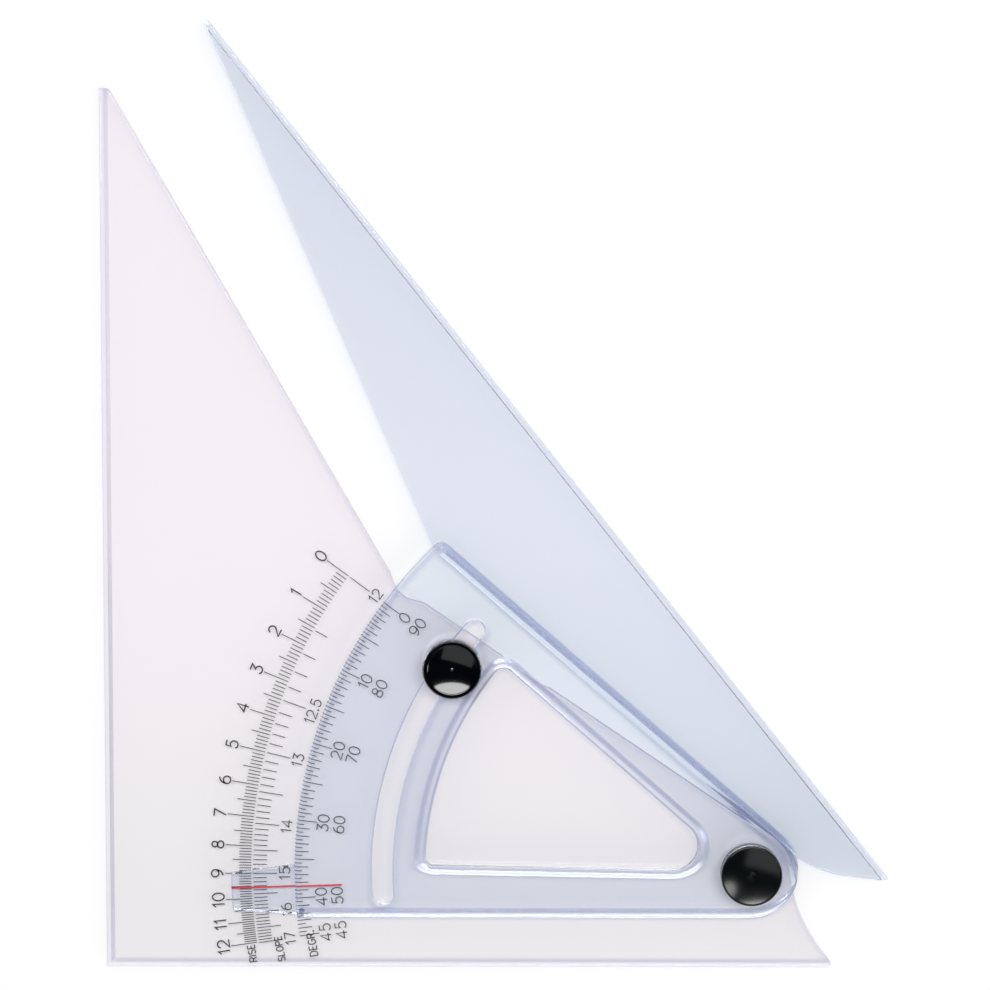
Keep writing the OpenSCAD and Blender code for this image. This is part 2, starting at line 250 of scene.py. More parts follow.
# Counter-clockwise from the corner at the lower left: foot, hollow end, round end about the pivot,
# step edge, relief at the knee, slope and top.
def baseOutline():
    p = basePlate
    low, left, high = p["low"], p["left"], p["high"]
    sweep = polar(p["sweepRadius"] + p["stepOffset"], p["sweepAngle"])
    footX = sweep[0] - math.sqrt(p["sweepRadius"] ** 2 - (sweep[1] - low) ** 2)
    footDirection = math.degrees(math.atan2(low - sweep[1], footX - sweep[0])) + 360
    # The foot's round takes the hollow's first four points.
    hollow = arc(sweep, p["sweepRadius"], footDirection, p["sweepAngle"] + 180)[4:]
    knee = meet(p["slopeNormal"], -p["slopeOffset"], p["stepNormal"], p["stepOffset"])
    peak = meet(p["slopeNormal"], -p["slopeOffset"], 90, high)
    down, inward = polar(1.0, p["stepNormal"] - 90), -polar(1.0, p["stepNormal"])
    up = polar(1.0, p["slopeNormal"] + 90)
    depth, small = p["reliefDepth"], p["reliefRound"]
    stepReach, slopeReach = p["reliefReach"]
    first, last = knee + down * depth * stepReach, knee + up * depth * slopeReach
    bedOne, bedTwo = (knee + down * depth * d + inward * depth * i for d, i in p["reliefBed"])
    return np.concatenate([
        [[left, low]],
        corner([left, low], [footX, low], hollow[0], p["footRound"]),
        hollow[:-1],
        arc([0, 0], p["stepOffset"], p["sweepAngle"], p["stepNormal"], step=3),
        corner(polar(p["stepOffset"], p["stepNormal"]), first, bedOne, small * 2),
        corner(first, bedOne, bedTwo, small * 2),
        corner(bedOne, bedTwo, last, small),
        corner(bedTwo, last, peak, small * 2),
        corner(last, peak, [left, high], p["topRound"]),
        [[left, high]],
    ])


def buildBase():
    p = basePlate
    loops = [(baseOutline(), [(0.0, 0.0)] + topStack(p["thick"], p["edgeRound"]))]
    seats = (([0, 0], p["pivotBore"], p["pivotSeat"]), (studPlace(), stud["bore"], stud["seat"]))
    for centre, bore, seat in seats:
        ring, wide, deep = circle(centre, bore)[::-1], seat - bore, p["seatDepth"]
        loops.append((ring, [(wide, 0.0), (wide, deep), (0.0, deep), (0.0, p["thick"])]))
    base = solid("clearBase", loops)
    cutLedge(base, 180, -p["left"], p["ledgeLean"])
    cutLedge(base, 270, -p["low"], p["ledgeLean"])
    shade(base)
    return base


clearBase = buildBase()
print("stage: base")

# Tinted arm, drawn closed and swung to the rest reading. Rims and rounds that turn with a side give the
# cosine where their weight begins and the weight straight towards it.
swingArm = {
    "restSwing": 6.5, "gap": 0.35, "sharpAngle": 9.5,
    "bladeNormal": 45.0, "bladeOffset": 30.0, "footHeight": 1.4, "footCurve": 32.7, "tipRound": 0.6,
    "bladeCorner": 0.6, "bladeEdgeRound": 0.5, "innerEdge": (0.3, 0.25), "ledgeLean": 0.2,
    "sectorLow": 3.15, "sectorHigh": 6.15, "sectorRadius": 131.8, "hubRadius": 14.0,
    "ridgeNormal": 55.4, "heelNormal": -83.5, "sectorCorner": 2.5, "heelCorner": 0.5,
    "rimWide": 1.1, "rimDrop": 1.8, "rimTurn": 75.0, "rimLeast": 0.16, "heelRim": (0.2, 1.0),
    "bevelWide": 3.1, "bevelDrop": 0.6,
    "ridgeFrom": 3.3, "ridgeWide": 3.4, "ridgeLip": (0.5, 0.12), "ridgeRim": (0.5, 1.0),
    "riserInset": 0.02, "riserLow": 1.5, "riserLimit": (1.2, 4.5),
}


def bladeOutline():
    a, b = swingArm, basePlate
    wall = b["stepOffset"] + a["gap"]
    inner = a["gap"] - b["slopeOffset"]
    heel = meet(a["bladeNormal"], a["bladeOffset"], 90, a["footHeight"])
    tip = meet(a["bladeNormal"], a["bladeOffset"], b["slopeNormal"], inner)
    root = meet(b["slopeNormal"], inner, b["stepNormal"], wall)
    centre = meet(b["stepNormal"], wall + a["footCurve"], 90, a["footHeight"] + a["footCurve"])
    toe = centre - polar(a["footCurve"], b["stepNormal"])
    return np.concatenate([
        corner([centre[0], a["footHeight"]], heel, tip, a["bladeCorner"]),
        corner(heel, tip, root, a["tipRound"]),
        corner(tip, root, toe, a["bladeCorner"]),
        arc(centre, a["footCurve"], b["stepNormal"] + 180, 270, step=2),
    ])


# Where a tangent from the hub, which leaves it at the normal's direction, meets a radius.
def tangentEnd(radius, normal, side):
    return normal + side * math.degrees(math.acos(swingArm["hubRadius"] / radius))


def sectorOutline():
    a = swingArm
    hub, radius = a["hubRadius"], a["sectorRadius"]
    top = tangentEnd(radius, a["ridgeNormal"], 1)
    low = tangentEnd(radius, a["heelNormal"], -1) + 360
    readFrom, readTo = top + 2, low - 1  # the corners take a little of the reading edge
    return np.concatenate([
        arc([0, 0], hub, a["heelNormal"], a["ridgeNormal"], step=3),
        corner(polar(hub, a["ridgeNormal"]), polar(radius, top), polar(radius, readFrom),
               a["sectorCorner"]),
        arc([0, 0], radius, readFrom, readTo),
        corner(polar(radius, readTo), polar(radius, low), polar(hub, a["heelNormal"]), a["heelCorner"]),
    ])


indexMark = {"angle": 188.55, "from": 118.3, "to": 149.9, "width": 0.5, "low": 3.09, "high": 3.13}
# Directions are degrees from the index line, smaller ones towards the ridge. HeelGap is the way in
# degrees from the sector's lower side.
tab = {
    "radius": 150.3, "high": 4.4, "round": 0.5, "corner": 1.0, "root": 3.0, "lift": 0.01,
    "rootFrom": -3.0, "endFrom": -1.8, "arcFrom": -1.2, "arcTo": 1.8, "endTo": 2.4, "heelGap": 0.3,
}


def tabOutline():
    mark, radius = indexMark["angle"], tab["radius"]
    inner = swingArm["sectorRadius"] - tab["root"]
    low = tangentEnd(inner, swingArm["heelNormal"], -1) + 360
    rootOne, rootTwo = polar(inner, mark + tab["rootFrom"]), polar(inner, low - tab["heelGap"])
    endOne, endTwo = polar(radius, mark + tab["endFrom"]), polar(radius, mark + tab["endTo"])
    return np.concatenate([
        [rootOne],
        corner(rootOne, endOne, endTwo, tab["corner"]),
        arc([0, 0], radius, mark + tab["arcFrom"], mark + tab["arcTo"]),
        corner(endOne, endTwo, rootTwo, tab["corner"]),
        [rootTwo],
    ])


window = {
    "radius": 94.0, "lowDirection": 185.5, "highDirection": 145.1, "highOffset": 2.2,
    "topRound": 2.9, "heelRound": 2.3, "pivotRound": 7.0, "lowRim": (0.3, 0.6),
}


def windowOutline():
    w = window
    low, high = w["lowDirection"], w["highDirection"]
    aim = 20.0  # any length along the two sides
    normal, along = polar(1.0, high - 90), polar(1.0, high)
    near = meet(high - 90, -w["highOffset"], low - 90, 0)
    reach = w["highOffset"] + w["topRound"]
    topCentre = along * math.sqrt((w["radius"] - w["topRound"]) ** 2 - reach ** 2) - normal * reach
    heelReach = math.sqrt((w["radius"] - w["heelRound"]) ** 2 - w["heelRound"] ** 2)
    heelCentre = polar(heelReach, low) + polar(w["heelRound"], low - 90)
    topAngle = math.degrees(math.atan2(topCentre[1], topCentre[0]))
    heelAngle = math.degrees(math.atan2(heelCentre[1], heelCentre[0])) % 360
    return np.concatenate([
        corner(near + polar(aim, low), near, near + along * aim, w["pivotRound"]),
        arc(topCentre, w["topRound"], high - 90, topAngle, step=8),
        arc([0, 0], w["radius"], topAngle, heelAngle)[1:-1],
        arc(heelCentre, w["heelRound"], heelAngle, low + 90, step=8),
    ])


slot = {"middle": 106.55, "width": 5.9, "from": 145.2, "sweep": 45.0, "round": 0.6}


def slotOutline():
    half, middle = slot["width"] / 2, slot["middle"]
    start, end = slot["from"], slot["from"] + slot["sweep"]
    return np.concatenate([
        arc([0, 0], middle + half, start, end),
        arc(polar(middle, end), half, end, end + 180, step=6)[1:-1],
        arc([0, 0], middle - half, end, start),
        arc(polar(middle, start), half, start + 180, start + 360, step=6)[1:-1],
    ])


# Rounded side that runs into a bevel. At share s of its width the bevel has risen by bevelDrop x
# s^2 (3 - 2s), level at both ends. Weight scales the inset along the outline, and the drop too where
# shallow is set. Where ridge is 1 the side is an even slope instead, with a lip at its top.
def rimStack(weight, ridge=0.0, shallow=False):
    a = swingArm
    high, drop = a["sectorHigh"], a["bevelDrop"]
    turn, share = np.radians(np.linspace(0, a["rimTurn"], 12)), np.linspace(0.1, 1, 10)
    rise = share ** 2 * (3 - 2 * share)
    insets = np.concatenate([
        [0], a["rimWide"] * (1 - np.cos(turn)), a["rimWide"] + a["bevelWide"] * share,
    ])
    drops = np.concatenate([
        [high - a["ridgeFrom"]], drop + a["rimDrop"] * (1 - np.sin(turn)), drop * (1 - rise),
    ])
    lipWide, lipDrop = a["ridgeLip"]
    slope = np.interp(-drops, [a["ridgeFrom"] - high, -lipDrop, 0],
                      [0, a["ridgeWide"] - lipWide, a["ridgeWide"]])
    scale = weight[:, 0] if shallow else 1.0
    side = [(weight * (1 - ridge) * i + ridge * r, high - d * scale)
            for i, r, d in zip(insets, slope, drops)]
    return lowStack(a["sectorLow"])[:-1] + side  # the lower round ends where the side begins


def buildArm():
    a, beyond = swingArm, 1.0  # beyond is how far a cut goes past the sheet
    low, high = a["sectorLow"], a["sectorHigh"]
    blade, sector = cleaned(bladeOutline()), cleaned(sectorOutline())
    opening = cleaned(windowOutline()[::-1])

    narrow = facing(blade, 1.0, (basePlate["slopeNormal"] + 180, *a["innerEdge"]))
    edge = [(inset * narrow, z) for inset, z in topStack(basePlate["thick"], a["bladeEdgeRound"])]
    arm = solid("tintedArm", [(blade, [(0.0, 0.0)] + edge)])
    cutLedge(arm, a["bladeNormal"], a["bladeOffset"], a["ledgeLean"])

    # The riser joins blade and sector where their outlines overlap.
    riserSpan = [(0.0, a["riserLow"]), (0.0, a["ridgeFrom"])]
    riser = solid("riser", [(insetLoop(blade, a["riserInset"]), riserSpan)])
    limitSpan = [(0.0, z) for z in a["riserLimit"]]
    combine(riser, solid("riserLimit", [(insetLoop(sector, a["riserInset"]), limitSpan)]), "INTERSECT")

    heel = facing(sector, a["rimLeast"], (a["heelNormal"], *a["heelRim"]))
    ridge = facing(sector, 0.0, (a["ridgeNormal"], *a["ridgeRim"]))
    rim = facing(opening, 1.0, (window["lowDirection"] - 90, *window["lowRim"]))
    plate = solid("sector", [
        (sector, rimStack(heel, ridge)),
        (opening, rimStack(rim, shallow=True)),
        (circle([0, 0], basePlate["pivotBore"])[::-1], [(0.0, low), (0.0, high)]),
    ])
    flared = [(-inset, z) for inset, z in topStack(high, slot["round"])]
    slotSpan = [(0.0, low - beyond)] + flared + [(-slot["round"], high + beyond)]
    combine(plate, solid("slot", [(slotOutline(), slotSpan)]), "DIFFERENCE")

    combine(arm, riser)
    combine(arm, plate, folded=True)
    tabSpan = lowStack(low + tab["lift"]) + topStack(tab["high"], tab["round"])
    combine(arm, solid("tab", [(tabOutline(), tabSpan)]))
    return arm


# Turns the mesh itself from closed to the rest reading, so the object stays untransformed.
def swing(obj):
    mesh = obj.data
    points = np.zeros(len(mesh.vertices) * 3)
    mesh.vertices.foreach_get("co", points)
    points = points.reshape(-1, 3)
    points[:, :2] = turned(points[:, :2], -swingArm["restSwing"])
    mesh.vertices.foreach_set("co", points.ravel())
    mesh.update()


tintedArm = buildArm()
swing(tintedArm)
shade(tintedArm, swingArm["sharpAngle"])
print("stage: arm", len(tintedArm.data.polygons))


# Thin boxes along open paths. Both sides follow the mitre of the path's turns.
def ribbon(paths, width, low, depth):
    leastStep, leastMitre = 0.01, 0.35
    points, faces = [], []
    total = 0
    for path in paths:
        path = np.asarray(path, dtype=float)
        path = path[np.append(True, np.hypot(*np.diff(path, axis=0).T) > leastStep)]
        step = np.diff(path, axis=0)
        step /= np.hypot(*step.T)[:, None]
        left = np.stack([-step[:, 1], step[:, 0]], -1)
        first, last = np.vstack([left[:1], left]), np.vstack([left, left[-1:]])
        mitre = (first + last) / np.maximum(1 + (first * last).sum(1), leastMitre)[:, None]
        sides = [path - mitre * width / 2, path + mitre * width / 2]
        count = len(path)
        points += [np.column_stack([s, np.full(count, z)]) for z in (low, low + depth) for s in sides]
        g = total + np.arange(4 * count).reshape(4, count)
        for one, two in ((2, 3), (1, 0), (0, 2), (3, 1)):
            a, b = g[one], g[two]
            faces += np.stack([a[:-1], a[1:], b[1:], b[:-1]], -1).tolist()
        faces += [[g[0][0], g[2][0], g[3][0], g[1][0]], [g[1][-1], g[3][-1], g[2][-1], g[0][-1]]]
        total += 4 * count
    return np.concatenate(points), faces


# Points of an ellipse arc in a glyph's cell.
def bend(cx, cy, rx, ry, start, end, step=18.0):
    angle = np.radians(np.linspace(start, end, max(2, math.ceil(abs(end - start) / step) + 1)))
    return np.stack([cx + rx * np.cos(angle), cy + ry * np.sin(angle)], -1)


# One stroke from points and bends.
def joined(*parts):
    return np.concatenate([np.atleast_2d(np.asarray(p, dtype=float)) for p in parts])


# Plain single-stroke figures in a cell one unit high: width and strokes of each.
glyphs = {
    "0": (0.66, [bend(0.33, 0.5, 0.33, 0.5, 0, 360)]),
    "1": (0.34, [joined([0.0, 0.76], [0.24, 1.0], [0.24, 0.0])]),
    "2": (0.66, [joined(bend(0.32, 0.68, 0.31, 0.32, 165, -35), [0.0, 0.0], [0.66, 0.0])]),
    "3": (0.62, [joined([0.04, 1.0], [0.58, 1.0], [0.27, 0.6],
                        bend(0.29, 0.3, 0.32, 0.3, 80, -155))]),
    "4": (0.70, [joined([0.5, 0.0], [0.5, 1.0], [0.0, 0.3], [0.7, 0.3])]),
    "5": (0.64, [joined([0.58, 1.0], [0.14, 1.0], [0.07, 0.54],
                        bend(0.31, 0.33, 0.32, 0.33, 130, -150))]),
    "6": (0.66, [joined([0.5, 0.97], bend(0.5, 0.36, 0.48, 0.6, 110, 180)),
                 bend(0.33, 0.31, 0.32, 0.31, 0, 360)]),
    "7": (0.62, [joined([0.0, 1.0], [0.62, 1.0], [0.2, 0.0])]),
    "8": (0.62, [bend(0.31, 0.76, 0.24, 0.24, 0, 360), bend(0.31, 0.26, 0.3, 0.26, 0, 360)]),
    "9": (0.66, [joined([0.16, 0.03], bend(0.16, 0.64, 0.48, 0.6, -70, 0)),
                 bend(0.33, 0.69, 0.32, 0.31, 0, 360)]),
    ".": (0.12, [bend(0.06, 0.05, 0.05, 0.05, 0, 360, 60)]),
    "R": (0.6, [joined([0.0, 0.0], [0.0, 1.0], [0.35, 1.0], bend(0.35, 0.75, 0.24, 0.25, 90, -90),
                       [0.0, 0.5]), joined([0.3, 0.5], [0.6, 0.0])]),
    "I": (0.05, [joined([0.02, 0.0], [0.02, 1.0])]),
    "S": (0.56, [joined(bend(0.28, 0.75, 0.26, 0.25, 30, 250),
                        bend(0.28, 0.26, 0.28, 0.26, 70, -150))]),
    "E": (0.5, [joined([0.5, 0.0], [0.0, 0.0], [0.0, 1.0], [0.5, 1.0]),
                joined([0.0, 0.5], [0.42, 0.5])]),
    "L": (0.48, [joined([0.0, 1.0], [0.0, 0.0], [0.48, 0.0])]),
    "O": (0.66, [bend(0.33, 0.5, 0.33, 0.5, 0, 360)]),
    "P": (0.58, [joined([0.0, 0.0], [0.0, 1.0], [0.32, 1.0], bend(0.32, 0.73, 0.26, 0.27, 90, -90),
                        [0.0, 0.46])]),
    "D": (0.62, [joined([0.0, 0.0], [0.0, 1.0], [0.25, 1.0], bend(0.25, 0.5, 0.37, 0.5, 90, -90),
                        [0.0, 0.0])]),
    "G": (0.66, [joined(bend(0.34, 0.5, 0.34, 0.5, 45, 345), [0.66, 0.46], [0.4, 0.46])]),
}


# Strokes of a word that stands on a circle about the pivot, its tops turned outwards.
def written(text, size, radius, direction, space=0.2):
    advance = sum(glyphs[c][0] for c in text) + space * (len(text) - 1)
    up, along = polar(1.0, direction), polar(1.0, direction - 90)
    cursor = -advance / 2
    paths = []
    for c in text:
        width, strokes = glyphs[c]
        for stroke in strokes:
            flatPath = (stroke[:, :1] + cursor) * along + stroke[:, 1:] * up
            paths.append(up * radius + flatPath * size)
        cursor += width + space
    return paths


def radial(inner, outer, direction):
    return [polar(inner, direction), polar(outer, direction)]


# Printed scales. Rise and slope are in tenths over a run of twelve, and the degrees run to 45.
scales = {
    "zero": 143.55, "z": 3.003, "depth": 0.012, "line": 0.24, "stroke": 0.32, "boldStroke": 0.42,
    "run": 120, "longest": 170, "oddLabel": 125, "halfDegrees": 90,
    "rise": {"inner": 144.5, "short": 148.0, "half": 149.9, "whole": 152.1,
             "label": 152.6, "size": 3.4},
    "slope": {"outer": 143.9, "short": 140.0, "whole": 137.0, "label": 133.3, "size": 3.0},
    "degrees": {"outer": 132.0, "half": 129.8, "whole": 128.0, "five": 126.2,
                "label": 122.8, "labelTwo": 118.2, "size": 3.2},
    # Words past the scales' end: size and radius of each.
    "wordsAt": 46.2, "wordSpace": 0.22,
    "words": {"RISE": (2.1, 145.4), "SLOPE": (2.0, 137.3), "DEGR.": (2.2, 127.7)},
}


def buildScales():
    zero, run = scales["zero"], scales["run"]
    rise, slope, degrees = scales["rise"], scales["slope"], scales["degrees"]
    ticks, words, bold = [], [], []
    for tenth in range(run + 1):
        direction = zero + math.degrees(math.atan(tenth / run))
        top = "whole" if tenth % 10 == 0 else "half" if tenth % 5 == 0 else "short"
        ticks.append(radial(rise["inner"], rise[top], direction))
        if tenth % 10 == 0:
            bold += written(str(tenth // 10), rise["size"], rise["label"], direction)
    for tenth in range(run, scales["longest"] + 1):
        direction = zero + math.degrees(math.acos(run / tenth))
        low = "whole" if tenth % 5 == 0 else "short"
        ticks.append(radial(slope[low], slope["outer"], direction))
        if tenth % 10 == 0 or tenth == scales["oddLabel"]:
            label = str(tenth // 10) if tenth % 10 == 0 else str(tenth / 10)
            words += written(label, slope["size"], slope["label"], direction)
    # The second row of numerals is the angle's complement.
    for half in range(scales["halfDegrees"] + 1):
        direction = zero + half / 2
        low = "half" if half % 2 else "five" if half % 10 == 0 else "whole"
        ticks.append(radial(degrees[low], degrees["outer"], direction))
        if half % 20 == 0 or half == scales["halfDegrees"]:
            words += written(str(half // 2), degrees["size"], degrees["label"], direction)
            words += written(str(90 - half // 2), degrees["size"], degrees["labelTwo"], direction)
    for text, (size, radius) in scales["words"].items():
        words += written(text, size, radius, zero + scales["wordsAt"], scales["wordSpace"])
    points, faces = np.zeros((0, 3)), []
    widths = (scales["line"], scales["stroke"], scales["boldStroke"])
    for paths, width in zip((ticks, words, bold), widths):
        more, sides = ribbon(paths, width, scales["z"], scales["depth"])
        faces += [[i + len(points) for i in side] for side in sides]
        points = np.concatenate([points, more])
    return makeMesh("printedScales", points, faces, range(len(faces)))


printedScales = buildScales()


def buildIndex():
    m = indexMark
    path = [turned(polar(r, m["angle"]), -swingArm["restSwing"]) for r in (m["from"], m["to"])]
    points, faces = ribbon([path], m["width"], m["low"], m["high"] - m["low"])
    return makeMesh("indexInlay", points, faces, range(len(faces)))


indexInlay = buildIndex()
print("stage: scales and index line")


# Turns a profile about an upright axis. Its rows are radius, height and a share of the teeth: the radius
# falls by toothDepth x share x (1 - cos(teeth x angle)) / 2.
def revolved(name, centre, profile, sharp, teeth=0, toothDepth=0.0):
    perTooth, smoothCount = 8, 144
    profile = np.asarray(profile, dtype=float)
    count = teeth * perTooth if teeth else smoothCount
    angle = np.arange(count) * 2 * np.pi / count
    wave = (1 - np.cos(teeth * angle)) / 2
    radius = profile[:, :1] - toothDepth * profile[:, 2:3] * wave[None]
    points = np.stack([
        centre[0] + radius * np.cos(angle),
        centre[1] + radius * np.sin(angle),
        np.broadcast_to(profile[:, 1:2], radius.shape),
    ], -1)
    grid = np.arange(len(profile) * count).reshape(len(profile), count)
    faces = ringFaces(grid) + [grid[0][::-1].tolist(), grid[-1].tolist()]
    obj = makeMesh(name, points.reshape(-1, 3), faces)
    obj.data.set_sharp_from_angle(angle=math.radians(sharp))
    return obj


# Rows from the bore out to the rim. Each row of a foot is inset, rise and share of the teeth.
def footRows(piece):
    rows = [(piece["radius"] - inset, piece["low"] + rise, share) for inset, rise, share in piece["foot"]]
    return [(piece["bore"], piece["low"], 0)] + rows


# Rows of a rounded lip, over which the teeth fade.
def lipRows(piece, toothShare):
    quarter, fade = np.radians(np.linspace(0, 90, 8)), 2.2  # fade is in radians of the lip
    inner, low, lip = piece["radius"] - piece["lip"], piece["high"] - piece["lip"], piece["lip"]
    return [(inner + lip * math.cos(t), low + lip * math.sin(t), toothShare * (1 - t / fade))
            for t in quarter]


knob = {
    "radius": 8.6, "low": 7.1, "high": 12.1, "bore": 2.8, "lip": 0.5, "shoulder": 1.0,
    "teeth": 84, "toothDepth": 0.5, "sharpAngle": 50.0,
    "foot": ((0.8, 0.0, 0.0), (0.3, 0.15, 0.6), (0.0, 0.5, 1.0)),
    "faceRadius": 7.0, "faceEdge": ((0.25, 0.0), (0.05, 0.03)), "faceStep": 0.05,
    "dish": 0.8, "pipHigh": 0.12, "pipWide": 0.3,
}


# Serrated rim, rounded shoulder, then a dish that falls as 1 - (r / face)^2, with a pip at its middle.
def buildKnob():
    k = knob
    high, face = k["high"], k["faceRadius"]
    rows = footRows(k) + [(k["radius"], high - k["shoulder"], 1)] + lipRows(k, 1.0)
    rows += [(face + outset, high - drop, 0) for outset, drop in k["faceEdge"]]
    share = np.linspace(1, 0.02, 40)
    pip = k["pipHigh"] * np.exp(-(face * share / k["pipWide"]) ** 2)
    height = high - k["faceStep"] - k["dish"] * (1 - share * share) + pip
    rows += np.column_stack([face * share, height, np.zeros(len(share))]).tolist()
    return revolved("glossKnob", studPlace(), rows, k["sharpAngle"], k["teeth"], k["toothDepth"])


glossKnob = buildKnob()

cap = {
    "radius": 8.8, "low": 6.3, "high": 11.1, "bore": 7.7, "lip": 0.45, "sharpAngle": 60.0,
    "foot": ((0.2, 0.0, 0.0), (0.0, 0.2, 0.0)), "dish": 0.75,
    "ringRadius": 1.25, "ringWide": 0.22, "ringHigh": 0.03, "pointWide": 0.35, "pointDeep": 0.05,
}


# Plain rim, soft lip, and a dish that falls as 1 - (r / face)^2, with a small ring and point.
def buildCap():
    c = cap
    share = np.linspace(0.97, 0.002, 60)
    radius = (c["radius"] - c["lip"]) * share
    ring = c["ringHigh"] * np.exp(-((radius - c["ringRadius"]) / c["ringWide"]) ** 2)
    point = c["pointDeep"] * np.exp(-(radius / c["pointWide"]) ** 2)
    height = c["high"] - c["dish"] * (1 - share * share) + (ring - point)
    rows = footRows(c) + lipRows(c, 0.0)
    rows += np.column_stack([radius, height, np.zeros(len(share))]).tolist()
    return revolved("satinCap", [0, 0], rows, c["sharpAngle"])


satinCap = buildCap()
print("stage: knob and cap")


# Scene-linear colour from a six-digit screen colour.
def linear(hexColour):
    value = np.array([int(hexColour[i:i + 2], 16) for i in (0, 2, 4)]) / 255
    return (*np.where(value <= 0.04045, value / 12.92, ((value + 0.055) / 1.055) ** 2.4), 1.0)


# Adds a node. Settings are its properties. Each input is given a value or linked to an output.
def addNode(tree, kind, settings=(), inputs=()):
    node = tree.nodes.new(kind)
    for name, value in dict(settings).items():
        setattr(node, name, value)
    for name, value in dict(inputs).items():
        if isinstance(value, bpy.types.NodeSocket):
            tree.links.new(value, node.inputs[name])
        else:
            node.inputs[name].default_value = value
    return node


def newMaterial(name):
    material = bpy.data.materials.new(name)
    material.use_nodes = True
    tree = material.node_tree
    tree.nodes.clear()
    return material, tree


# The looks of the two sheets. Each pair is the tint seen through the sheet and the shade of the light
# that goes on to what lies below: top and foot of the sheet on the table, the raised sheet, and the
# painted light and painted shade of steep edges, lighter where an edge faces the key lamp at +Y and
# darker where it faces away, with its own painted shade for low walls. Sawn is the colour of a wall as
# the saw left it, and its shares are how matt the walls are up to the ledge's height and above it. Wave
# is the strength of the slow waves in the polish, and waveSize is millimetres. Tip is how much of the
# top's pair, as against the foot's, is left at the far tip.
clearLook = {
    "top": ("fefcfe", "fefcfe"), "foot": ("fbfafb", "fbfafb"), "raised": ("fefcfe", "fefcfe"),
    "paintedLight": ("f4f2f8", "fbfafd"), "paintedShade": ("cfcce0", "c4c2d6"), "paintedShadeLow": "d4d2e2",
    "sawn": "f6f2fc", "sawnShares": (0.6, 0.85), "wave": 0.02, "waveSize": 60.0, "tip": 1.0,
}
tintLook = {
    "top": ("f1f4fb", "f9fafd"), "foot": ("ebeff6", "f3f5f8"), "raised": ("f6f9ff", "fcfeff"),
    "paintedLight": ("eaf0fc", "ffffff"), "paintedShade": ("a0a8cc", "8c98c0"), "paintedShadeLow": "c4cee8",
    "sawn": "e6ebf8", "sawnShares": (0.5, 0.1), "wave": 0.03, "waveSize": 40.0, "tip": 0.35,
}
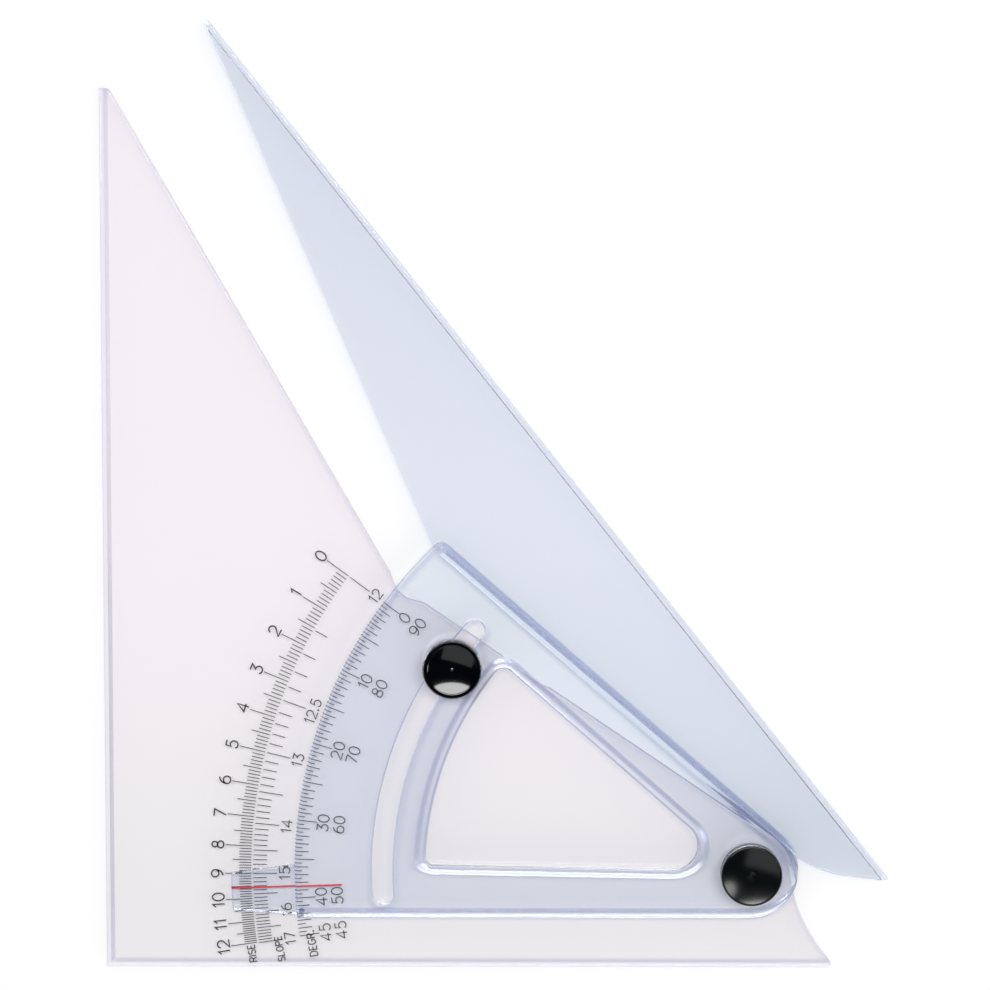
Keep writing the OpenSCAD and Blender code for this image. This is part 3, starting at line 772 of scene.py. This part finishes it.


# Acrylic, cut from sheet or moulded, and polished. The eye gets a faint tint, a little darker towards
# the foot, and slow waves in the polish. Steep faces get painted shade in place of the sheet's tint,
# lighter where they turn to the key lamp at +Y. The light that goes on through them is coloured the
# same way, so painted shadow falls below the edges, darkest below those turned away from the lamp.
def acrylic(name, look):
    material, tree = newMaterial(name)
    spot = addNode(tree, "ShaderNodeTexCoord").outputs["Object"]
    where = addNode(tree, "ShaderNodeSeparateXYZ", inputs={"Vector": spot}).outputs
    normal = addNode(tree, "ShaderNodeNewGeometry").outputs["Normal"]
    lean = addNode(tree, "ShaderNodeSeparateXYZ", inputs={"Vector": normal}).outputs
    upright = addNode(tree, "ShaderNodeMath", {"operation": "ABSOLUTE"}, {0: lean["Z"]}).outputs[0]
    slow = addNode(tree, "ShaderNodeTexNoise", inputs={
        "Vector": spot, "Scale": 1000 / look["waveSize"], "Detail": 1.0,
    })
    bump = addNode(tree, "ShaderNodeBump", inputs={
        "Height": slow.outputs["Fac"], "Strength": look["wave"], "Distance": 0.0002,
    })

    # Each runs between its last two values over a span of the normal or of a place in metres.
    share = {}
    for key, value, start, end, low, high in (
        # Level marks steep faces, which get the painted edge colours; the painted-light share is how far a
        # face turns to +Y, towards the key lamp.
        ("level", upright, 0.965, 0.992, 0.0, 1.0),
        ("paintedLight", lean["Y"], -0.18, 0.18, 0.0, 1.0),
        ("foot", where["Y"], -0.01, 0.09, 0.0, 1.0),
        ("tip", where["Y"], 0.11, 0.25, 1.0, look["tip"]),
        ("raised", where["Z"], 0.00304, 0.0031, 0.0, 1.0),
        ("sawn", where["Z"], 0.00098, 0.00102, *look["sawnShares"]),
        ("wall", upright, 0.3, 0.5, 1.0, 0.0),
    ):
        share[key] = addNode(tree, "ShaderNodeMapRange", inputs={
            "Value": value, "From Min": start, "From Max": end, "To Min": low, "To Max": high,
        }).outputs["Result"]
    # The ledge under a guiding edge, at 1 mm, is a third thinner and nearly colourless.
    for key, operation, inputs in (
        ("along", "MINIMUM", {0: share["foot"], 1: share["tip"]}),
        ("thin", "COMPARE", {0: where["Z"], 1: 0.001, 2: 0.0004}),
        ("sawnWall", "MULTIPLY", {0: share["wall"], 1: share["sawn"]}),
        ("raisedWall", "MULTIPLY", {0: share["wall"], 1: share["raised"]}),
    ):
        share[key] = addNode(tree, "ShaderNodeMath", {"operation": operation}, inputs).outputs[0]

    # Use is 0 for the tint that is seen and 1 for the light that goes on. Each row mixes two colours by a
    # share, and a colour is a screen colour or the result of a row above.
    def toned(use):
        tone = {}
        for key, factor, low, high in (
            ("sheet", "along", look["foot"][use], look["top"][use]),
            ("thinned", "thin", "sheet", "fcfcff"),
            ("face", "raised", "thinned", look["raised"][use]),
            # Steep faces: painted shade, lighter as they turn to the lamp.
            ("paintedShade", "raised", look["paintedShadeLow"], look["paintedShade"][use]),
            ("edge", "paintedLight", "paintedShade", look["paintedLight"][use]),
            ("whole", "level", "edge", "face"),
        ):
            ends = [tone[end] if end in tone else linear(end) for end in (low, high)]
            tone[key] = addNode(tree, "ShaderNodeMix", {"data_type": "RGBA"}, {
                0: share[factor], 6: ends[0], 7: ends[1],
            }).outputs[2]
        return tone["whole"]

    frost = addNode(tree, "ShaderNodeMapRange", inputs={
        "Value": share["level"], "To Min": 0.18, "To Max": 0.0,
    }).outputs["Result"]
    body = addNode(tree, "ShaderNodeBsdfPrincipled", inputs={
        "IOR": 1.49, "Transmission Weight": 1.0, "Base Color": toned(0), "Roughness": frost,
        "Normal": bump.outputs["Normal"],
    }).outputs["BSDF"]
    sawn = addNode(tree, "ShaderNodeBsdfDiffuse", inputs={"Color": linear(look["sawn"])}).outputs["BSDF"]
    sheet = addNode(tree, "ShaderNodeMixShader", inputs={0: share["sawnWall"], 1: body, 2: sawn}).outputs[0]
    # Light that passes a wall of the raised sheet takes the dark painted-shade colour, a painted shadow on
    # what lies below.
    passed = addNode(tree, "ShaderNodeMix", {"data_type": "RGBA"}, {
        0: share["raisedWall"], 6: toned(1), 7: linear(look["paintedShade"][1]),
    }).outputs[2]
    through = addNode(tree, "ShaderNodeBsdfTransparent", inputs={"Color": passed}).outputs["BSDF"]
    path = addNode(tree, "ShaderNodeLightPath").outputs
    passing = addNode(tree, "ShaderNodeMath", {"operation": "MAXIMUM"}, {
        0: path["Is Shadow Ray"], 1: path["Is Diffuse Ray"],
    }).outputs[0]
    both = addNode(tree, "ShaderNodeMixShader", inputs={0: passing, 1: sheet, 2: through}).outputs[0]
    addNode(tree, "ShaderNodeOutputMaterial", inputs={"Surface": both})
    return material


# Moulded, turned or printed surface: roughness wanders by spread and a fine grain breaks the shine.
# Grain is the strength of the grain's bump, and grainSize is millimetres.
def coated(name, colour, roughness, spread, grain, grainSize, metal=0.0):
    material, tree = newMaterial(name)
    spot = addNode(tree, "ShaderNodeTexCoord").outputs["Object"]
    noise = addNode(tree, "ShaderNodeTexNoise", inputs={
        "Vector": spot, "Scale": 1000 / grainSize, "Detail": 3.0,
    }).outputs["Fac"]
    rough = addNode(tree, "ShaderNodeMapRange", inputs={
        "Value": noise, "To Min": roughness - spread, "To Max": roughness + spread,
    }).outputs["Result"]
    bump = addNode(tree, "ShaderNodeBump", inputs={
        "Height": noise, "Strength": grain, "Distance": 0.00005,
    }).outputs["Normal"]
    body = addNode(tree, "ShaderNodeBsdfPrincipled", inputs={
        "Base Color": linear(colour), "Metallic": metal, "Roughness": rough, "Normal": bump,
    }).outputs["BSDF"]
    addNode(tree, "ShaderNodeOutputMaterial", inputs={"Surface": body})
    return material


clearMaterial = acrylic("clearAcrylic", clearLook)
tintMaterial = acrylic("tintedAcrylic", tintLook)
# Screen print is thin and half matt, and the paint in the index groove is even.
inkMaterial = coated("printInk", "23222a", 0.5, 0.1, 0.1, 0.6)
redMaterial = coated("redInlayPaint", "d8283c", 0.45, 0.05, 0.1, 0.5)
# Zinc plate is bright with a broken shine, turned brass is warm, and undyed nylon is milky.
steelMaterial = coated("zincSteel", "b9bbbe", 0.3, 0.08, 0.1, 0.4, 1.0)
brassMaterial = coated("turnedBrass", "c9a45a", 0.28, 0.08, 0.1, 0.4, 1.0)
ivoryMaterial = coated("naturalPlastic", "e6e3da", 0.5, 0.08, 0.1, 0.5)
# Moulded black plastic: the cap has a soft, slightly uneven shine, the knob a clear reflection.
satinMaterial = coated("satinBlack", "04080a", 0.14, 0.03, 0.1, 0.35)
glossMaterial = coated("glossBlack", "020408", 0.08, 0.02, 0.01, 2.0)
print("stage: materials")


def setMaterial(mesh, material):
    mesh.materials.clear()
    mesh.materials.append(material)


def dress(obj, material, body, slotName, *nodes):
    setMaterial(obj.data, material)
    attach(obj, body)
    if nodes:
        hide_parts(*nodes)


dress(clearBase, clearMaterial, "base", "clear_acrylic", "base_plate")
dress(tintedArm, tintMaterial, "arm", "tinted_acrylic", "swing_arm")
dress(printedScales, inkMaterial, "base", "scale_ink")
dress(indexInlay, redMaterial, "arm", "red_inlay", "index_line")
dress(glossKnob, glossMaterial, "knob", "black_knob", "lock_knob")
dress(satinCap, satinMaterial, "base", "black_cap", "pivot_cap")
for nodeName, material in (
    ("pivot_screw", steelMaterial), ("lock_screw", steelMaterial), ("spring_washer", steelMaterial),
    ("friction_washer", ivoryMaterial), ("pivot_nut", brassMaterial), ("knob_insert", brassMaterial),
    ("lock_washer", satinMaterial),
):
    setMaterial(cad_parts[nodeName].data, material)

# Floor, lamps, world and camera are in metres.
ground = {"half": 3.0, "level": -0.0006, "colour": "fcfcfc"}


def buildFloor():
    half, level = ground["half"], ground["level"]
    mesh = bpy.data.meshes.new("floor")
    corners = [(x * half, y * half, level) for x, y in ((-1, -1), (1, -1), (1, 1), (-1, 1))]
    mesh.from_pydata(corners, [], [(0, 1, 2, 3)])
    floor = bpy.data.objects.new("floor", mesh)
    bpy.context.scene.collection.objects.link(floor)
    material, tree = newMaterial("paleFloor")
    body = addNode(tree, "ShaderNodeBsdfDiffuse", inputs={"Color": linear(ground["colour"])})
    addNode(tree, "ShaderNodeOutputMaterial", inputs={"Surface": body.outputs["BSDF"]})
    mesh.materials.append(material)


# Flat lamp, a rectangle or an ellipse. Its power follows from the radiance wanted: pi x area x radiance.
def softbox(name, spot, aim, width, radiance, shape="RECTANGLE"):
    light = bpy.data.lights.new(name, "AREA")
    light.shape = shape
    light.size, light.size_y = width
    fill = math.pi / 4 if shape == "ELLIPSE" else 1.0
    light.energy = math.pi * width[0] * width[1] * fill * radiance
    obj = bpy.data.objects.new(name, light)
    bpy.context.scene.collection.objects.link(obj)
    obj.location = spot
    obj.rotation_euler = (Vector(aim) - Vector(spot)).to_track_quat("-Z", "Y").to_euler()


# Factors of the sky's strength: an axis, a span along it, and the factor at both ends. The sky is nearly
# black overhead, so that black pieces stay black, dims to the horizon, and is brighter at negative Y.
skyBands = (("Z", 0.72, 0.84, 0.68, 0.005), ("Z", 0.0, 0.25, 0.5, 1.0), ("Y", -0.6, 0.6, 1.45, 0.55))


def buildWorld():
    world = bpy.data.worlds.new("studio")
    bpy.context.scene.world = world
    world.use_nodes = True
    tree = world.node_tree
    tree.nodes.clear()
    direction = addNode(tree, "ShaderNodeTexCoord").outputs["Generated"]
    parts = addNode(tree, "ShaderNodeSeparateXYZ", inputs={"Vector": direction}).outputs
    strength = 1.0  # before the factors
    for axis, start, end, low, high in skyBands:
        band = addNode(tree, "ShaderNodeMapRange", inputs={
            "Value": parts[axis], "From Min": start, "From Max": end, "To Min": low, "To Max": high,
        }).outputs["Result"]
        strength = addNode(tree, "ShaderNodeMath", {"operation": "MULTIPLY"}, {
            0: strength, 1: band,
        }).outputs[0]
    sky = addNode(tree, "ShaderNodeBackground", inputs={"Color": (1, 1, 1, 1), "Strength": strength})
    addNode(tree, "ShaderNodeOutputWorld", inputs={"Surface": sky.outputs["Background"]})


# Places are metres and turns degrees.
view = {"lens": 123.64, "place": (-0.0810, 0.2157, 0.971), "turn": (-6.27, -0.38, 0.19)}


def buildCamera():
    data = bpy.data.cameras.new("camera")
    data.lens = view["lens"]
    data.sensor_width = 36.0
    data.clip_start = 0.01
    camera = bpy.data.objects.new("camera", data)
    bpy.context.scene.collection.objects.link(camera)
    camera.location = view["place"]
    camera.rotation_euler = tuple(math.radians(v) for v in view["turn"])
    bpy.context.scene.camera = camera


buildFloor()
# Directions are those that the knob's dish shows: a bright lamp behind the camera, a grey wall beyond.
middle = (-0.08, 0.08, 0.0)
softbox("keyLight", (-0.083, 0.80, 3.6), middle, (2.7, 0.96), 13.2, "ELLIPSE")
softbox("wallLight", (-0.575, -1.63, 3.6), middle, (2.3, 1.2), 0.8)
softbox("capLight", (0.14, -0.03, 0.4), (0.0, 0.0, 0.0), (0.07, 0.07), 6.5, "ELLIPSE")
buildWorld()
buildCamera()
bpy.context.scene.view_settings.view_transform = "Standard"
print("stage: light and camera")
